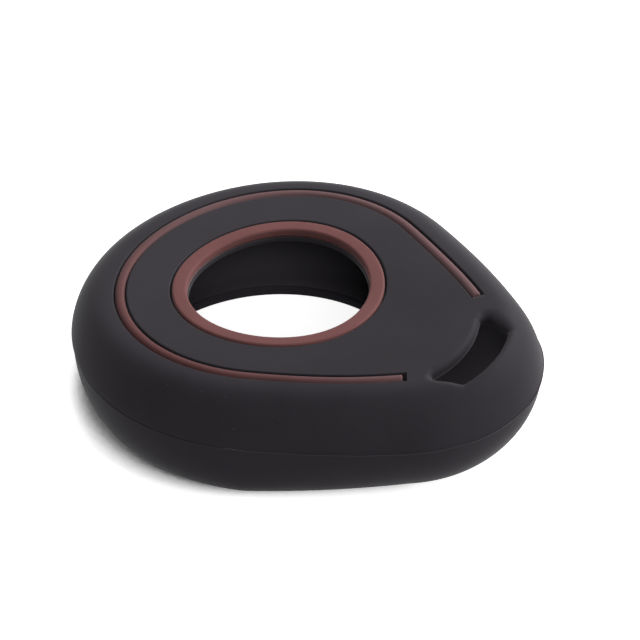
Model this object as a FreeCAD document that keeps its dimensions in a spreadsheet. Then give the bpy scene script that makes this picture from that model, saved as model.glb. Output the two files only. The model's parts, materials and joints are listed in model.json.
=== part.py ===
import FreeCAD
import Part
import Sketcher
import math
import os
from types import SimpleNamespace

# Soft moulded cover for a round key fob with a tapering tail, empty, lying on its underside.
# Frame: the origin is the middle of the cover's length and width, in the plane that it rests on. +Z is up
# and +X points to the key-ring tip. The cover is the same on both sides of the XZ plane. Outlines are drawn
# about the window's axis and then placed. Lengths are in millimetres.

SIZES = (
    ("body_radius", 25.0, "round end: window axis to the side, at the seam"),
    ("tip_distance", 17.1, "window axis to the centre of the tip's arc"),
    ("tip_radius", 16.45, "tip's arc at the seam"),
    ("flank_radius", 90.0, "gently bowed flanks between the round end and the tip"),
    ("seam_height", 9.45, "height of the parting line"),
    ("shoulder_rise", 5.5, "parting line to the top plate"),
    ("shoulder_inset", 3.7, "how far the shoulder leans in up to the top plate"),
    ("lower_inset", 6.1, "how far the lower wall curves in down to the underside"),
    ("tip_tuck", 2.6, "how much further the lower wall is tucked in at the tip"),
    ("parting_step", 0.1, "step that the two mould halves leave at the seam"),
    ("side_wall", 1.8, "side wall at the seam"),
    ("top_wall", 1.7, "top plate"),
    ("lip_wall", 1.4, "lip round the underside opening"),
    ("window_radius", 10.7, "window through the top plate"),
    ("window_ledge", 0.1, "black ledge that shows inside the ring"),
    ("ring_width", 1.8, "brown ring, across"),
    ("ring_depth", 1.0, "rebate that the ring lies in"),
    ("ring_moat", 0.25, "gap round the ring"),
    ("ring_edge", 0.3, "rounding of the ring's upper edges"),
    ("inlay_proud", 0.1, "how far the ring and the stripe stand above the top plate"),
    ("stripe_inset", 6.3, "outline at the seam to the middle of the stripe"),
    ("stripe_width", 1.15, "brown stripe, across"),
    ("stripe_depth", 0.6, "groove that the stripe lies in"),
    ("stripe_moat", 0.2, "gap along both sides of the stripe"),
    ("stripe_end_gap", 0.35, "gap at the stripe's ends"),
    ("stripe_edge", 0.45, "rounding of the stripe's upper edges"),
    ("opening_radius", 17.2, "underside opening that the fob is pushed in through"),
    ("opening_offset", 0.75, "underside opening: its centre's distance from the window axis"),
    ("slot_margin", 3.5, "key-ring slot to the end of the tip"),
    ("slot_width", 4.35, "key-ring slot, along the cover"),
    ("slot_inner_span", 14.8, "key-ring slot, across the cover on its inner side"),
    ("slot_outer_span", 10.5, "key-ring slot, across the cover on its outer side"),
    ("slot_inner_arc", 23.0, "radius of the key-ring slot's inner side"),
    ("slot_outer_arc", 15.5, "radius of the key-ring slot's outer side"),
    ("slot_corner", 0.5, "corners of the key-ring slot"),
    ("slot_dish", 0.45, "dished edge of the key-ring slot"),
    ("overrun", 2.0, "how far a cutting shape runs past what it cuts"),
)

# Shape of the section above and below the seam: power of its superellipse, 2 for a plain ellipse.
SHOULDER_POWER_SHARE = 1.42
LOWER_POWER_SHARE = 2.44
# How late the tip's tuck sets in on the way down: 1 is evenly.
TUCK_POWER_SHARE = 1.6
# Slope of the stripe's square ends, seen from the centre of the tip's arc: rise over run.
STRIPE_END_SHARE = 1.68
# Steps of each quarter section between the seam and the flat top or bottom.
SECTION_STEPS = 9
SHARE_DIGITS = 6

START, END, CENTRE = 1, 2, 3
X_AXIS, ORIGIN = -1, 1
UP = FreeCAD.Vector(0, 0, 1)


class Size:
    """A length of the sheet, or a sum of such lengths, as a number and as the text of an expression."""

    def __init__(self, number, text):
        self.number = number
        self.text = text

    def __add__(self, other):
        return Size(self.number + other.number, f"{self.text} + {other.text}")

    def __sub__(self, other):
        return Size(self.number - other.number, f"{self.text} - ({other.text})")

    def __mul__(self, share):
        share = round(share, SHARE_DIGITS)
        return Size(self.number * share, f"({self.text}) * {share}")

    def bind(self, target, path):
        target.setExpression(path, self.text)


doc = FreeCAD.newDocument("key_fob_cover")
sheet = doc.addObject("Spreadsheet::Sheet", "Sizes")
for row, (alias, value, meaning) in enumerate(SIZES, start=1):
    sheet.set(f"A{row}", str(value))
    sheet.setAlias(f"A{row}", alias)
    sheet.set(f"B{row}", meaning)
doc.recompute()

s = SimpleNamespace(**{alias: Size(value, f"Sizes.{alias}") for alias, value, meaning in SIZES})
ZERO = Size(0.0, "0")
window_x = (s.body_radius - s.tip_distance - s.tip_radius) * (1 / 2)
top = s.seam_height + s.shoulder_rise
ring_inner = s.window_radius + s.window_ledge
ring_outer = ring_inner + s.ring_width


def dimension(sketch, size, kind, *places):
    """Adds a constraint whose value follows a size of the sheet."""
    index = sketch.addConstraint(Sketcher.Constraint(kind, *places, size.number))
    size.bind(sketch, f"Constraints[{index}]")


def relate(sketch, kind, *places):
    sketch.addConstraint(Sketcher.Constraint(kind, *places))


def new_sketch(name, height):
    sketch = doc.addObject("Sketcher::SketchObject", name)
    window_x.bind(sketch, "Placement.Base.x")
    height.bind(sketch, "Placement.Base.z")
    return sketch


def add_arc(sketch, x, y, radius, first, last):
    circle = Part.Circle(FreeCAD.Vector(x, y, 0), UP, radius)
    return sketch.addGeometry(Part.ArcOfCircle(circle, first, last), False)


def add_line(sketch, first, last):
    return sketch.addGeometry(Part.LineSegment(FreeCAD.Vector(*first, 0), FreeCAD.Vector(*last, 0)), False)


def outline(name, height, inset, tuck=ZERO):
    """The cover's outline, drawn in by inset all round and by tuck more at the tip: four tangent arcs.

    Each flank's centre lies on the other side of the cover, flank minus round end away from the window
    axis and flank minus tip away from the tip's centre.
    """
    round_end = s.body_radius - inset
    tip = s.tip_radius - inset - tuck
    flank = s.flank_radius - inset
    reach = s.tip_distance.number
    to_round_end = flank.number - round_end.number
    to_tip = flank.number - tip.number
    x = (reach ** 2 + to_round_end ** 2 - to_tip ** 2) / (2 * reach)
    y = math.sqrt(to_round_end ** 2 - x ** 2)
    at_round_end = math.atan2(y, -x)
    at_tip = math.atan2(y, reach - x)
    sketch = new_sketch(name, height)
    tip_arc = add_arc(sketch, reach, 0, tip.number, -at_tip, at_tip)
    left_flank = add_arc(sketch, x, -y, flank.number, at_tip, at_round_end)
    round_arc = add_arc(sketch, 0, 0, round_end.number, at_round_end, 2 * math.pi - at_round_end)
    right_flank = add_arc(sketch, x, y, flank.number, -at_round_end, -at_tip)
    relate(sketch, "Coincident", round_arc, CENTRE, X_AXIS, ORIGIN)
    relate(sketch, "PointOnObject", tip_arc, CENTRE, X_AXIS)
    dimension(sketch, s.tip_distance, "DistanceX", X_AXIS, ORIGIN, tip_arc, CENTRE)
    dimension(sketch, round_end, "Radius", round_arc)
    dimension(sketch, tip, "Radius", tip_arc)
    dimension(sketch, flank, "Radius", left_flank)
    relate(sketch, "Equal", left_flank, right_flank)
    chain = (tip_arc, left_flank, round_arc, right_flank, tip_arc)
    for before, after in zip(chain, chain[1:]):
        relate(sketch, "Tangent", before, END, after, START)
    return sketch


def quarter(name, reach, skin, end_height, power, tuck):
    """Solid from the seam to end_height whose side follows a quarter of a superellipse.

    It starts at inset skin with an upright side and ends at inset reach with a level one.
    """
    sections = []
    for step in range(SECTION_STEPS + 1):
        turn = math.pi / 2 * step / SECTION_STEPS
        across = abs(math.cos(turn)) ** (2 / power)
        along = math.sin(turn) ** (2 / power)
        inset = reach * (1 - across) + skin * across
        height = s.seam_height * (1 - along) + end_height * along
        sections.append(outline(f"{name}_section_{step}", height, inset, tuck * along ** TUCK_POWER_SHARE))
    return loft(name, sections)


def lower_quarter(name, skin, end_height):
    return quarter(name, s.lower_inset, skin, end_height, LOWER_POWER_SHARE, s.tip_tuck)


def upper_quarter(name, skin, end_height):
    return quarter(name, s.shoulder_inset, skin, end_height, SHOULDER_POWER_SHARE, ZERO)


def loft(name, sections, ruled=False):
    solid = doc.addObject("Part::Loft", name)
    solid.Sections = sections
    solid.Solid = True
    solid.Ruled = ruled
    return solid


def extrude(name, sketch, length):
    solid = doc.addObject("Part::Extrusion", name)
    solid.Base = sketch
    solid.DirMode = "Normal"
    solid.Solid = True
    length.bind(solid, "LengthFwd")
    return solid


def cylinder(name, radius, bottom, height, x=window_x):
    solid = doc.addObject("Part::Cylinder", name)
    radius.bind(solid, "Radius")
    height.bind(solid, "Height")
    x.bind(solid, "Placement.Base.x")
    bottom.bind(solid, "Placement.Base.z")
    return solid


def cut(name, base, *tools):
    for count, tool in enumerate(tools, start=1):
        result = doc.addObject("Part::Cut", f"{name}_{count}")
        result.Base = base
        result.Tool = tool
        base = result
    return base


def fuse(name, *solids):
    result = doc.addObject("Part::MultiFuse", name)
    result.Shapes = list(solids)
    result.Refine = True
    return result


def round_edges(name, base, radius, choose):
    """Rounds the edges of base whose numbers choose gives."""
    doc.recompute()
    result = doc.addObject("Part::Fillet", name)
    result.Base = base
    result.Edges = [(number, radius.number, radius.number) for number in choose(base.Shape)]
    return result


def upper_edges(shape):
    middle = shape.BoundBox.Center.z
    return [number for number, edge in enumerate(shape.Edges, start=1) if edge.BoundBox.ZMin > middle]


def upright_edges(shape):
    middle = shape.BoundBox.Center.z
    return [number for number, edge in enumerate(shape.Edges, start=1)
            if edge.BoundBox.ZMin < middle < edge.BoundBox.ZMax]


def tip_wedge(name, apex, bottom, height):
    """Wedge that opens towards the tip and cuts the stripe's loop square at both ends."""
    run = s.tip_radius
    rise = run * STRIPE_END_SHARE
    far = apex.number + run.number
    sketch = new_sketch(f"{name}_sketch", bottom)
    lower = add_line(sketch, (apex.number, 0), (far, -rise.number))
    side = add_line(sketch, (far, -rise.number), (far, rise.number))
    upper = add_line(sketch, (far, rise.number), (apex.number, 0))
    for before, after in ((lower, side), (side, upper), (upper, lower)):
        relate(sketch, "Coincident", before, END, after, START)
    relate(sketch, "PointOnObject", lower, START, X_AXIS)
    relate(sketch, "Symmetric", side, START, side, END, X_AXIS)
    dimension(sketch, apex, "DistanceX", X_AXIS, ORIGIN, lower, START)
    dimension(sketch, run, "DistanceX", lower, START, lower, END)
    dimension(sketch, rise * 2, "DistanceY", side, START, side, END)
    return extrude(name, sketch, height)


def stripe_band(name, half_width, end_gap, bottom, height):
    """U-shaped band that follows the outline at the stripe's inset and ends square beside the tip."""
    end_lead_share = math.hypot(1, STRIPE_END_SHARE) / STRIPE_END_SHARE
    below = bottom - s.overrun
    past = height + s.overrun * 2
    outer_line = outline(f"{name}_outer_line", bottom, s.stripe_inset - half_width)
    inner_line = outline(f"{name}_inner_line", below, s.stripe_inset + half_width)
    outer = extrude(f"{name}_outer", outer_line, height)
    inner = extrude(f"{name}_inner", inner_line, past)
    wedge = tip_wedge(f"{name}_end", s.tip_distance + end_gap * end_lead_share, below, past)
    return cut(name, outer, inner, wedge)


def slot_sketch(name, height, flare=ZERO):
    """Key-ring slot, widened by flare all round: two arcs with centres on the axis, joined by slanting ends."""
    outer_side = s.tip_distance + s.tip_radius - s.slot_margin
    inner_side = outer_side - s.slot_width
    sides = ((inner_side - s.slot_inner_arc, s.slot_inner_arc - flare, s.slot_inner_span + flare * 2),
             (outer_side - s.slot_outer_arc, s.slot_outer_arc + flare, s.slot_outer_span + flare * 2))
    sketch = new_sketch(name, height)
    arcs = []
    for centre, radius, span in sides:
        turn = math.asin(span.number / 2 / radius.number)
        arc = add_arc(sketch, centre.number, 0, radius.number, -turn, turn)
        relate(sketch, "Symmetric", arc, START, arc, END, X_AXIS)
        dimension(sketch, centre, "DistanceX", X_AXIS, ORIGIN, arc, CENTRE)
        dimension(sketch, radius, "Radius", arc)
        dimension(sketch, span, "DistanceY", arc, START, arc, END)
        arcs.append((arc, centre.number + radius.number * math.cos(turn), span.number / 2))
    (inner, inner_reach, inner_half), (outer, outer_reach, outer_half) = arcs
    for place, side in ((START, -1), (END, 1)):
        line = add_line(sketch, (inner_reach, side * inner_half), (outer_reach, side * outer_half))
        relate(sketch, "Coincident", line, START, inner, place)
        relate(sketch, "Coincident", line, END, outer, place)
    return sketch


def make_sleeve():
    """Black body: hollow, with its window, underside opening, key-ring slot, rebate and groove."""
    lower = lower_quarter("lower_half", s.parting_step, ZERO)
    upper = upper_quarter("upper_half", ZERO, top)
    blank = fuse("sleeve_blank", lower, upper)
    lower_hollow = lower_quarter("lower_hollow", s.side_wall, s.lip_wall)
    upper_hollow = upper_quarter("upper_hollow", s.side_wall, top - s.top_wall)
    hollow = fuse("fob_space", lower_hollow, upper_hollow)
    through = s.top_wall + s.overrun * 2
    window = cylinder("window", s.window_radius, top - s.top_wall - s.overrun, through)
    rebate = cylinder("ring_rebate", ring_outer + s.ring_moat, top - s.ring_depth, s.ring_depth + s.overrun)
    opening = cylinder("underside_opening", s.opening_radius, ZERO - s.overrun, s.lip_wall + s.overrun * 2,
                       window_x - s.opening_offset)
    groove = stripe_band("stripe_groove", s.stripe_width * (1 / 2) + s.stripe_moat, s.stripe_end_gap,
                         top - s.stripe_depth, s.stripe_depth + s.overrun)
    slot = extrude("slot_block", slot_sketch("slot_line", ZERO - s.overrun), top + s.overrun * 2)
    slot = round_edges("key_ring_slot", slot, s.slot_corner, upright_edges)
    flare = s.slot_dish + s.overrun
    dish = loft("slot_dish_cut", [slot_sketch("slot_dish_low", top - s.slot_dish),
                                  slot_sketch("slot_dish_high", top + s.overrun, flare)], ruled=True)
    sleeve = cut("sleeve_cut", blank, hollow, window, rebate, opening, groove, slot, dish)
    sleeve.Label = "sleeve"
    return sleeve


def make_window_ring():
    """Brown ring that lies on the floor of its rebate, round the window."""
    floor = top - s.ring_depth
    height = s.ring_depth + s.inlay_proud
    disc = cylinder("ring_disc", ring_outer, floor, height)
    bore = cylinder("ring_bore", ring_inner, floor - s.overrun, height + s.overrun * 2)
    ring = cut("ring_cut", disc, bore)
    ring = round_edges("ring_rounded", ring, s.ring_edge, upper_edges)
    ring.Label = "window_ring"
    return ring


def make_stripe():
    """Brown stripe that lies on the floor of its groove."""
    floor = top - s.stripe_depth
    height = s.stripe_depth + s.inlay_proud
    stripe = stripe_band("stripe_band", s.stripe_width * (1 / 2), ZERO, floor, height)
    stripe = round_edges("stripe_rounded", stripe, s.stripe_edge, upper_edges)
    stripe.Label = "stripe"
    return stripe


pieces = [make_sleeve(), make_window_ring(), make_stripe()]
doc.recompute()

for item in doc.Objects:
    if "Invalid" in item.State or "Error" in item.State:
        raise RuntimeError(f"{item.Name} failed: {item.State}")
for piece in pieces:
    if piece.Shape.isNull() or not piece.Shape.isValid() or len(piece.Shape.Solids) != 1:
        raise RuntimeError(f"{piece.Label} is not one valid solid")

os.makedirs("parts", exist_ok=True)
for piece in pieces:
    piece.Shape.exportStep(f"parts/{piece.Label}.step")
    box = piece.Shape.optimalBoundingBox()
    extent = f"{box.XLength:.2f} x {box.YLength:.2f} x {box.ZLength:.2f} mm"
    print(f"{piece.Label}: {piece.Shape.Volume:.1f} mm3, {extent}")
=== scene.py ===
"""Soft moulded cover for a round key fob: a black sleeve with a brown window ring and a brown stripe.

Laid out as an add-on and run as a script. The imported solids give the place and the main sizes. Every piece is
a surface worked out from them, in metres, in the same frame: +Z up, +X towards the key-ring tip.
"""
import json
import math
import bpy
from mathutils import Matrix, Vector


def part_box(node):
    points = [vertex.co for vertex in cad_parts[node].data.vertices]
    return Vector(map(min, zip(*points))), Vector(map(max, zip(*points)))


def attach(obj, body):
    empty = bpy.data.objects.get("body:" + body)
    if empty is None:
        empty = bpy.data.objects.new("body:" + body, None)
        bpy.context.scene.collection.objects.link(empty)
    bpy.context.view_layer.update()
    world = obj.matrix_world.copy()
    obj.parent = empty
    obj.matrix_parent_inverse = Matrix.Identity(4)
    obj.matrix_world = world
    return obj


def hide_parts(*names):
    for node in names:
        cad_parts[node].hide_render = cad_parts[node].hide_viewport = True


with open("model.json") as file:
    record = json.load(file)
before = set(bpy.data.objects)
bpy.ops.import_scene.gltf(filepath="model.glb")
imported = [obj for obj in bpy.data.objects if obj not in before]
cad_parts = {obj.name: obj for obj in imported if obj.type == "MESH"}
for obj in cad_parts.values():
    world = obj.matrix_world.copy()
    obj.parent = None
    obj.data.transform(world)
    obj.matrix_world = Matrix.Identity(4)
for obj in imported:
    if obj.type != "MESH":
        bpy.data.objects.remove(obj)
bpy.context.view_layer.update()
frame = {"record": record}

from types import SimpleNamespace

import bpy
import numpy as np
from mathutils import Matrix, Vector

bl_info = {
    "name": "Key fob cover",
    "version": (1, 0, 0),
    "blender": (4, 5, 0),
    "location": "3D View > Sidebar > Fob cover",
    "description": "Builds a soft moulded key fob cover on its packed solids",
    "category": "Object",
}

MM = 0.001
BODY = "root"

SLEEVE_LOW, SLEEVE_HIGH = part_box("sleeve")
RING_LOW, RING_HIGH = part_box("window_ring")
STRIPE_LOW, STRIPE_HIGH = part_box("stripe")
MOUNTS = {mount["name"]: mount for mount in frame["record"]["mounts"]}
WINDOW_X = MOUNTS["window"]["pos_m"][0]
OPENING_X = MOUNTS["fob_mouth"]["pos_m"][0]

# Powers of the superellipses that the section follows, across and along: 2 and 2 is a plain ellipse.
SHOULDER_POWERS = (2.5, 1.3)
CEILING_POWERS = (1.42, 1.42)
LOWER_POWERS = (2.44, 2.44)
# How late the tip's tuck sets in on the way down: 1 is evenly.
TUCK_POWER = 1.6
# Slope of the stripe's square ends, seen from the centre of the tip's arc: rise over run.
STRIPE_END_SLOPE = 1.68
# Level stretch beside a moulded edge, as a share of its rounding.
EDGE_LEVEL_SHARE = 2
# Steps of a line on which a place is looked up.
FINE_STEPS = 2000
# How flat the bottom of the top plate's sag is: 2 is a plain bell.
SAG_POWER = 4
LOBES = 3


def length(name, description, default):
    return bpy.props.FloatProperty(name=name, description=description, default=default, unit="LENGTH",
                                   precision=5)


def angle(name, description, degrees):
    return bpy.props.FloatProperty(name=name, description=description, default=math.radians(degrees),
                                   subtype="ANGLE")


def colour(name, description, default):
    return bpy.props.FloatVectorProperty(name=name, description=description, default=default, size=3,
                                         subtype="COLOR", min=0, max=1)


def share(name, description, default):
    return bpy.props.FloatProperty(name=name, description=description, default=default, min=0, max=1,
                                   subtype="FACTOR")


class CoverSizes(bpy.types.PropertyGroup):
    """Sizes of the cover. The outline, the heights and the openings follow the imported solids."""

    body_radius: length("Round end", "Window axis to the side, at the seam",
                        (SLEEVE_HIGH.y - SLEEVE_LOW.y) / 2)
    tip_radius: length("Tip radius", "Arc of the key-ring tip at the seam", 16.45 * MM)
    flank_radius: length("Flank radius", "Gently bowed flanks between the round end and the tip", 90 * MM)
    top: length("Top", "Height of the top plate", SLEEVE_HIGH.z)
    seam_height: length("Seam height", "Height of the parting line", 9.45 * MM)
    ceiling_inset: length("Ceiling inset", "How far the hollow's wall leans in up to its ceiling", 3.7 * MM)
    lower_inset: length("Lower inset", "How far the lower wall curves in to the underside", 6.1 * MM)
    tip_tuck: length("Tip tuck", "How much further the lower wall is tucked in at the tip", 2.6 * MM)
    parting_step: length("Parting step", "Step that the two mould halves leave at the seam", 0.1 * MM)
    seam_gap: length("Seam gap", "Fine gap along the parting line, at the round end", 0.4 * MM)
    seam_depth: length("Seam depth", "Depth of that gap", 0.35 * MM)
    seam_edge: length("Seam edge", "Rounding of that gap's edges", 0.02 * MM)
    flash: length("Flash", "Thin bead of flash along the parting line at the tip", 0.16 * MM)
    seam_band: length("Seam band", "Height of the parting line's gap, step and bead", 0.46 * MM)
    side_wall: length("Side wall", "Thickness of the side wall at the seam", 1.8 * MM)
    top_wall: length("Top wall", "Thickness of the top plate", 1.7 * MM)
    lip_wall: length("Lip wall", "Thickness of the lip round the underside opening",
                     MOUNTS["fob_mouth"]["dims"]["length_mm"] * MM)
    lip_edge: length("Lip edge", "Rounding of the lip round the underside opening", 0.35 * MM)
    lip_slip: length("Lip slip", "How far the soft lip has set towards the -Y side", 0.75 * MM)
    lip_lag: length("Lip lag", "How far the soft lip has set away from the tip", 0.33 * MM)
    window_radius: length("Window", "Radius of the window", MOUNTS["window"]["dims"]["r_mm"] * MM)
    opening_radius: length("Underside opening", "Radius of the opening that the fob goes in through",
                           MOUNTS["fob_mouth"]["dims"]["r_mm"] * MM)
    ring_outer: length("Ring radius", "Outer radius of the brown ring", (RING_HIGH.y - RING_LOW.y) / 2)
    ring_width: length("Ring width", "Brown ring, across", 1.8 * MM)
    ring_moat: length("Ring moat", "Gap round the ring", 0.25 * MM)
    ring_edge: length("Ring edge", "Rounding of the ring's upper edges", 0.3 * MM)
    stripe_width: length("Stripe width", "Brown stripe, across", 1.15 * MM)
    stripe_moat: length("Stripe moat", "Gap along both sides of the stripe", 0.2 * MM)
    stripe_end_gap: length("Stripe end gap", "Gap at the stripe's ends", 0.35 * MM)
    stripe_short: length("Stripe short", "How far the stripe stops short at its -Y end", 0.3 * MM)
    stripe_edge: length("Stripe edge", "Rounding of the stripe's upper edges", 0.5 * MM)
    stripe_slip: length("Stripe slip", "How far the stripe sits round towards one side", 0.75 * MM)
    slot_margin: length("Slot margin", "Key-ring slot to the end of the tip", 3.95 * MM)
    slot_width: length("Slot width", "Key-ring slot, along the cover", 3.7 * MM)
    slot_inner_span: length("Slot inner span", "Key-ring slot, across on its inner side", 14.4 * MM)
    slot_outer_span: length("Slot outer span", "Key-ring slot, across on its outer side", 11.0 * MM)
    slot_inner_arc: length("Slot inner arc", "Radius of the key-ring slot's inner side", 14.5 * MM)
    slot_outer_arc: length("Slot outer arc", "Radius of the key-ring slot's outer side", 15.5 * MM)
    slot_corner: length("Slot corner", "Corners of the key-ring slot", 0.8 * MM)
    slot_dish: length("Slot dish", "Rounded upper edge of the key-ring slot", 0.7 * MM)
    slot_far_dish: length("Slot far dish", "How much wider that rounding is at its +Y end", 0.8 * MM)
    slot_near_dish: length("Slot near dish", "How much wider that rounding is at its -Y end", 0.35 * MM)
    slot_slip: length("Slot slip", "How far the soft tip has set sideways at the slot", -0.09 * MM)
    slot_turn: angle("Slot turn", "How far the soft tip has set round at the slot", 3.5)
    slot_ceiling_edge: length("Slot ceiling edge", "Rounding of the slot towards the hollow", 0.75 * MM)
    slot_edge: length("Slot edge", "Rounding of the key-ring slot's other hidden edges", 0.25 * MM)
    edge: length("Moulded edge", "Rounding of the sleeve's small edges", 0.12 * MM)
    tilt: length("Tilt", "How far the top rises at the tip, as the soft wall sets", 0.59 * MM)
    sag: length("Sag", "How far the top plate sags at the window axis", 0.63 * MM)
    sag_reach: length("Sag reach", "Where the sag has fallen to about a third", 15 * MM)
    lobe: length("Lobes", "How far the soft top is pulled out of round", 0.26 * MM)
    lobe_turn: angle("Lobe turn", "Phase of the lobes round the window axis", 46)
    lobe_reach: length("Lobe reach", "How far from the window axis the lobes are full", 19 * MM)
    lobe_fade: length("Lobe fade", "Stretch beyond that over which they fade", 8 * MM)
    shift: length("Shift", "How far the soft top has set towards the tip", 0.18 * MM)


class CoverFinish(bpy.types.PropertyGroup):
    """Colours and finish of the two silicones."""

    black: colour("Black", "Silicone of the sleeve", (0.0325, 0.029, 0.0345))
    ring_brown: colour("Ring brown", "Silicone of the ring", (0.176, 0.0755, 0.0735))
    stripe_brown: colour("Stripe brown", "Silicone of the thinner stripe", (0.116, 0.048, 0.048))
    # Painted light: a colour far paler than the black, blended into the hollow's walls and ceiling so that they
    # look lit.
    inside: colour("Inside", "Dusty silicone of the hollow's ceiling", (0.18, 0.167, 0.188))
    # Painted sheen: this pale colour is mixed in on the sides towards the back lamps, a painted highlight of
    # their sheen.
    painted_sheen: colour("Film", "Film of dust", (0.6, 0.57, 0.62))
    black_painted_sheen: share("Black film", "How much of the film shows on top of the sleeve's round end", 0.015)
    stripe_painted_sheen: share("Stripe film", "How much of the film shows on the stripe's +Y side", 0.075)
    roughness: share("Roughness", "Roughness of the moulded surface", 0.6)
    specular: share("Specular", "Strength of its soft reflections", 0.055)
    dust: share("Dust", "How much the dusty sheen and the specks show", 0.12)


class StageSettings(bpy.types.PropertyGroup):
    """Camera and floor."""

    lens: bpy.props.FloatProperty(name="Lens", description="Focal length on a 36 mm wide sensor", default=135,
                                  unit="CAMERA")
    distance: length("Distance", "Camera to the window axis, along the line of sight", 292.65 * MM)
    azimuth: angle("Azimuth", "Turn of the camera round the cover", 35.49)
    elevation: angle("Elevation", "Height of the camera above the horizon", 36.73)
    roll: angle("Roll", "Turn of the picture", -2.38)
    right: length("Right", "Camera's place to the right of the window axis", 4.395 * MM)
    up: length("Up", "Camera's place above the window axis", 7.12 * MM)
    floor: colour("Floor", "Colour of the floor", (0.74, 0.74, 0.74))
    # The floor's own white: dimmed near the cover into a painted shadow, and full inside the cover, where it
    # paints out the cover's shade.
    open_white: share("Open white", "The floor's own white in the open", 0.85)
    window_white: share("Window white", "The floor's own white inside the cover", 0.86)
    shade_reach: length("Shade reach", "How far off the cover shades the floor's own white", 5.5 * MM)


# Outline


def ramp(value, first, last):
    """Gentle climb from 0 at first to 1 at last: three times the way's square less twice its cube."""
    way = np.clip((value - first) / (last - first), 0, 1)
    return way * way * (3 - 2 * way)


def blend(first, last, way):
    """First changed to last by a share of the way."""
    return first * (1 - way) + last * way


def outline_arcs(sizes):
    """The four tangent arcs of the outline, about the window axis: places and the angles where they meet.

    Each flank's centre lies on the other side of the cover, flank minus round end away from the window axis
    and flank minus tip away from the tip's centre.
    """
    tip_distance = SLEEVE_HIGH.x - WINDOW_X - sizes.tip_radius
    to_round_end = sizes.flank_radius - sizes.body_radius
    to_tip = sizes.flank_radius - sizes.tip_radius
    flank_x = (tip_distance ** 2 + to_round_end ** 2 - to_tip ** 2) / (2 * tip_distance)
    flank_y = math.sqrt(to_round_end ** 2 - flank_x ** 2)
    return SimpleNamespace(tip_distance=tip_distance, flank_x=flank_x, flank_y=flank_y,
                           at_tip=math.atan2(flank_y, tip_distance - flank_x),
                           at_round_end=math.atan2(flank_y, -flank_x))


def outline(sizes, turn):
    """Points, outward normals and the tip's share of the outline, where its normal points along each turn.

    A point is its arc's centre plus the arc's radius along the normal. The tip's share is 1 on the tip's arc
    and falls evenly to 0 along each flank.
    """
    arcs = outline_arcs(sizes)
    normal = np.stack([np.cos(turn), np.sin(turn)], axis=-1)
    on_tip = np.abs(turn) <= arcs.at_tip
    on_round_end = np.abs(turn) >= arcs.at_round_end
    centre_x = np.select([on_tip, on_round_end], [arcs.tip_distance, 0], arcs.flank_x)
    centre_y = np.select([on_tip, on_round_end], [0, 0], -np.sign(turn) * arcs.flank_y)
    radius = np.select([on_tip, on_round_end], [sizes.tip_radius, sizes.body_radius], sizes.flank_radius)
    point = np.stack([WINDOW_X + centre_x, centre_y], axis=-1) + radius[:, None] * normal
    tip = (arcs.at_round_end - np.abs(turn)) / (arcs.at_round_end - arcs.at_tip)
    return SimpleNamespace(turn=turn, point=point, normal=normal, tip=np.clip(tip, 0, 1))


def stripe_inset(sizes):
    """From the outline at the seam to the middle of the stripe."""
    return STRIPE_LOW.x - SLEEVE_LOW.x + sizes.stripe_width / 2


def shoulder_inset(sizes):
    """From the outline at the seam to the top of the shoulder, just outside the stripe's groove."""
    groove_outer = stripe_inset(sizes) - sizes.stripe_width / 2 - sizes.stripe_moat
    return groove_outer - EDGE_LEVEL_SHARE * sizes.edge


def stripe_end(sizes):
    """Turn of the outline's normal where the stripe's middle line meets its square end."""
    arcs = outline_arcs(sizes)
    turn = np.linspace(arcs.at_tip, arcs.at_round_end, FINE_STEPS)
    line = outline(sizes, turn)
    middle = line.point - stripe_inset(sizes) * line.normal
    run = middle[:, 0] - WINDOW_X - arcs.tip_distance
    return float(np.interp(0, middle[:, 1] - STRIPE_END_SLOPE * run, turn))


def spread(*spans):
    """Even steps over spans that follow each other: each span is first, last and steps, without its last."""
    return np.concatenate([np.linspace(first, last, steps, endpoint=False) for first, last, steps in spans])


# Rows of a section


def rounded_path(corners, radii, steps=4):
    """Points along a polyline whose inner corners are arcs.

    An arc's centre lies on the corner's bisector, and its points turn evenly from one tangent point to the
    other.
    """
    corners = [np.asarray(corner, float) for corner in corners]
    points = [corners[0]]
    part = np.linspace(0, 1, steps + 1)[:, None]
    for before, corner, after, radius in zip(corners, corners[1:], corners[2:], radii):
        back = (before - corner) / np.linalg.norm(before - corner)
        ahead = (after - corner) / np.linalg.norm(after - corner)
        half = math.acos(np.clip(back @ ahead, -1, 1)) / 2
        reach = radius / math.tan(half)
        bisector = (back + ahead) / np.linalg.norm(back + ahead)
        centre = corner + bisector * radius / math.sin(half)
        first = corner + back * reach - centre
        last = corner + ahead * reach - centre
        sweep = math.pi - 2 * half
        arc = (np.sin((1 - part) * sweep) * first + np.sin(part * sweep) * last) / math.sin(sweep)
        points.extend(centre + arc)
    points.append(corners[-1])
    return np.array(points)


def quarter(powers, steps):
    """Quarter of a superellipse: across falls from 1 to 0 while along climbs from 0 to 1."""
    turn = np.linspace(0, math.pi / 2, steps + 1)
    return np.abs(np.cos(turn)) ** (2 / powers[0]), np.sin(turn) ** (2 / powers[1])


def circle_rows(centre_x, bearing, path):
    """One row for each radius and height of the path: a circle about an upright axis on the XZ plane."""
    radius, height = path[:, 0, None], path[:, 1, None]
    x = centre_x + radius * np.cos(bearing)
    y = radius * np.sin(bearing)
    return np.stack([x, y, height + np.zeros_like(x)], axis=-1)


def raised(plan, height):
    """Points of a plan, each at its height."""
    return np.concatenate([plan, np.broadcast_to(height, plan.shape[:-1])[..., None]], axis=-1)


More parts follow.
